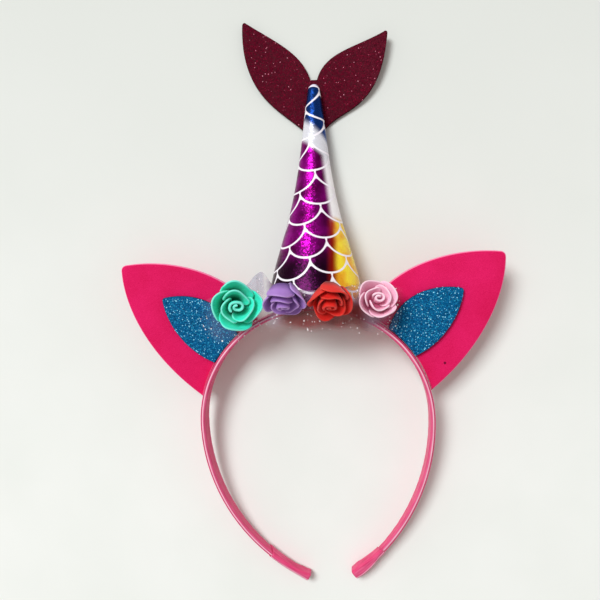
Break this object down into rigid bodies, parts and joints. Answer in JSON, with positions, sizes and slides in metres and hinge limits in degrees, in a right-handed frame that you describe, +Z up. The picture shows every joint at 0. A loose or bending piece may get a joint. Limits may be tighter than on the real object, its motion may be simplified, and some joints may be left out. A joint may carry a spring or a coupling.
{
  "type": "dress-up crown headband",
  "caption": "Dress-up crown on a satin-wound headband, with a foil fish-scale horn, a forked glitter tail, cat-like ears, foam roses and tulle, lying on its back.",
  "frame": {"origin": "under the middle of the crown's box, on the surface it lies on", "axes": "+X across the crown to its right in the picture, +Y towards the tail, +Z up from the surface it lies on"},
  "size_m": [0.1952, 0.3006, 0.0575],
  "materials": {
    "satin_ribbon": "satin sheen, wound ribbon",
    "ear_velour": "matt velour with a light nap",
    "blue_glitter_foam": "glitter-coated foam sheet",
    "scale_foil": "rainbow foil with a white fish-scale print",
    "maroon_glitter_foam": "glitter-coated foam sheet",
    "glitter_tulle": "sheer net with loose glitter",
    "mint_foam": "soft satin foam",
    "lilac_foam": "soft satin foam",
    "red_foam": "soft satin foam",
    "pink_foam": "soft satin foam"
  },
  "bodies": {
    "root": {"headband": "satin_ribbon", "ribbon_end_left": "satin_ribbon", "ribbon_end_right": "satin_ribbon", "ear_left": "ear_velour", "ear_right": "ear_velour", "inner_ear_left": "blue_glitter_foam", "inner_ear_right": "blue_glitter_foam", "horn": "scale_foil", "tail_fluke": "maroon_glitter_foam", "tulle_ruffle": "glitter_tulle", "rose_mint_bud": "mint_foam", "rose_mint_inner_1": "mint_foam", "rose_mint_inner_2": "mint_foam", "rose_mint_inner_3": "mint_foam", "rose_mint_outer_1": "mint_foam", "rose_mint_outer_2": "mint_foam", "rose_mint_outer_3": "mint_foam", "rose_mint_outer_4": "mint_foam", "rose_lilac_bud": "lilac_foam", "rose_lilac_inner_1": "lilac_foam", "rose_lilac_inner_2": "lilac_foam", "rose_lilac_inner_3": "lilac_foam", "rose_lilac_outer_1": "lilac_foam", "rose_lilac_outer_2": "lilac_foam", "rose_lilac_outer_3": "lilac_foam", "rose_lilac_outer_4": "lilac_foam", "rose_red_bud": "red_foam", "rose_red_inner_1": "red_foam", "rose_red_inner_2": "red_foam", "rose_red_inner_3": "red_foam", "rose_red_outer_1": "red_foam", "rose_red_outer_2": "red_foam", "rose_red_outer_3": "red_foam", "rose_red_outer_4": "red_foam", "rose_pink_bud": "pink_foam", "rose_pink_inner_1": "pink_foam", "rose_pink_inner_2": "pink_foam", "rose_pink_inner_3": "pink_foam", "rose_pink_outer_1": "pink_foam", "rose_pink_outer_2": "pink_foam", "rose_pink_outer_3": "pink_foam", "rose_pink_outer_4": "pink_foam"}
  },
  "joints": []
}
